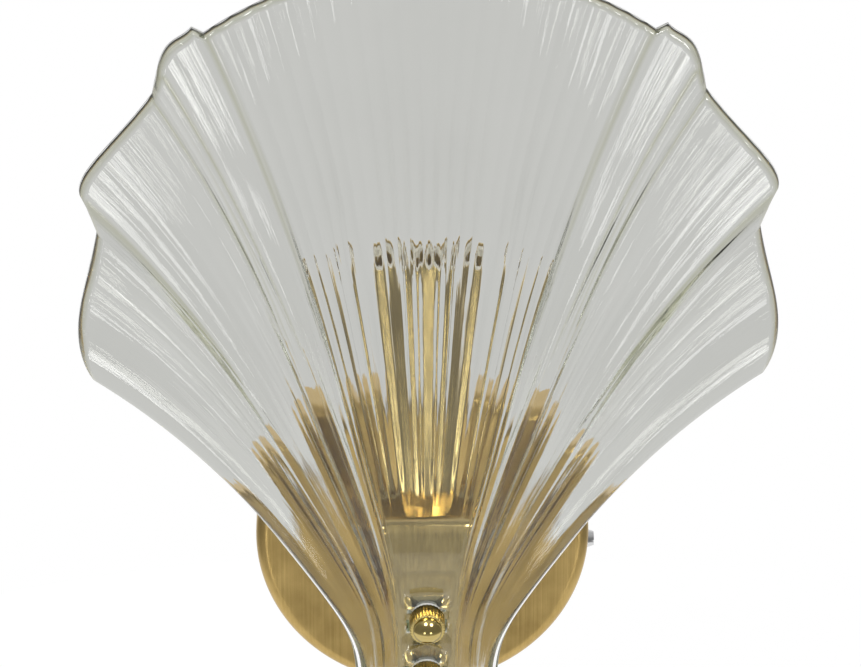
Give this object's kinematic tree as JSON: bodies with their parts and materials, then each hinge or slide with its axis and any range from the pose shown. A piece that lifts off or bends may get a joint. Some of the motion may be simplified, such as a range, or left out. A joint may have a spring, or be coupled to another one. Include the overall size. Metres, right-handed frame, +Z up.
{
  "type": "wall sconce",
  "caption": "Wall light with a ribbed pressed-glass scallop shell, clamped by knurled knobs on a bent brass strip, in front of an upright lampholder on a round canopy.",
  "frame": {"origin": "centre of the round canopy on the wall plane", "axes": "+Z up, +X to the right seen from the front, +Y into the wall, so the light stands out towards -Y"},
  "size_m": [0.212, 0.0997, 0.2743],
  "materials": {
    "spun_brass": "spun",
    "brushed_brass": "brushed",
    "polished_brass": "polished",
    "bare_brass": "plain",
    "glass": "pressed, clear",
    "nylon": "satin white",
    "holder_plastic": "satin ivory",
    "block_plastic": "satin white",
    "lead_sleeving": "satin white",
    "rubber": "matt",
    "zinc_steel": "zinc plated",
    "screw_chrome": "polished"
  },
  "bodies": {
    "light": {"canopy": "spun_brass", "wall_bracket": "zinc_steel", "side_nut": "zinc_steel", "grommet": "rubber", "terminal_block": "block_plastic", "terminal_screws": "zinc_steel", "earth_screw": "bare_brass", "holder_strip": "brushed_brass", "strip_screws": "zinc_steel", "nipple": "zinc_steel", "star_washer": "zinc_steel", "nipple_nut": "bare_brass", "sleeve_cup": "brushed_brass", "sleeve": "brushed_brass", "holder_base": "holder_plastic", "holder_body": "holder_plastic", "thread_shell": "bare_brass", "centre_contact": "bare_brass", "clamp_studs": "bare_brass", "rear_washers": "nylon", "front_washers": "nylon", "lead_left": "lead_sleeving", "lead_right": "lead_sleeving", "glass_shell": "glass"},
    "upper_knob": {"knob_upper": "polished_brass"},
    "lower_knob": {"knob_lower": "polished_brass"},
    "canopy_screw": {"side_screw": "screw_chrome"}
  },
  "joints": [
    {"name": "knob_upper_turn", "type": "hinge", "parent": "light", "child": "upper_knob", "pos_m": [0, -0.06428, -0.00652], "axis": [0, -0.9877, -0.1564], "continuous": true},
    {"name": "knob_lower_turn", "type": "hinge", "parent": "light", "child": "lower_knob", "pos_m": [0, -0.06084, -0.02824], "axis": [0, -0.9877, -0.1564], "continuous": true},
    {"name": "side_screw_turn", "type": "hinge", "parent": "light", "child": "canopy_screw", "pos_m": [0.0551, -0.009, -0.005], "axis": [1, 0, 0], "continuous": true}
  ]
}
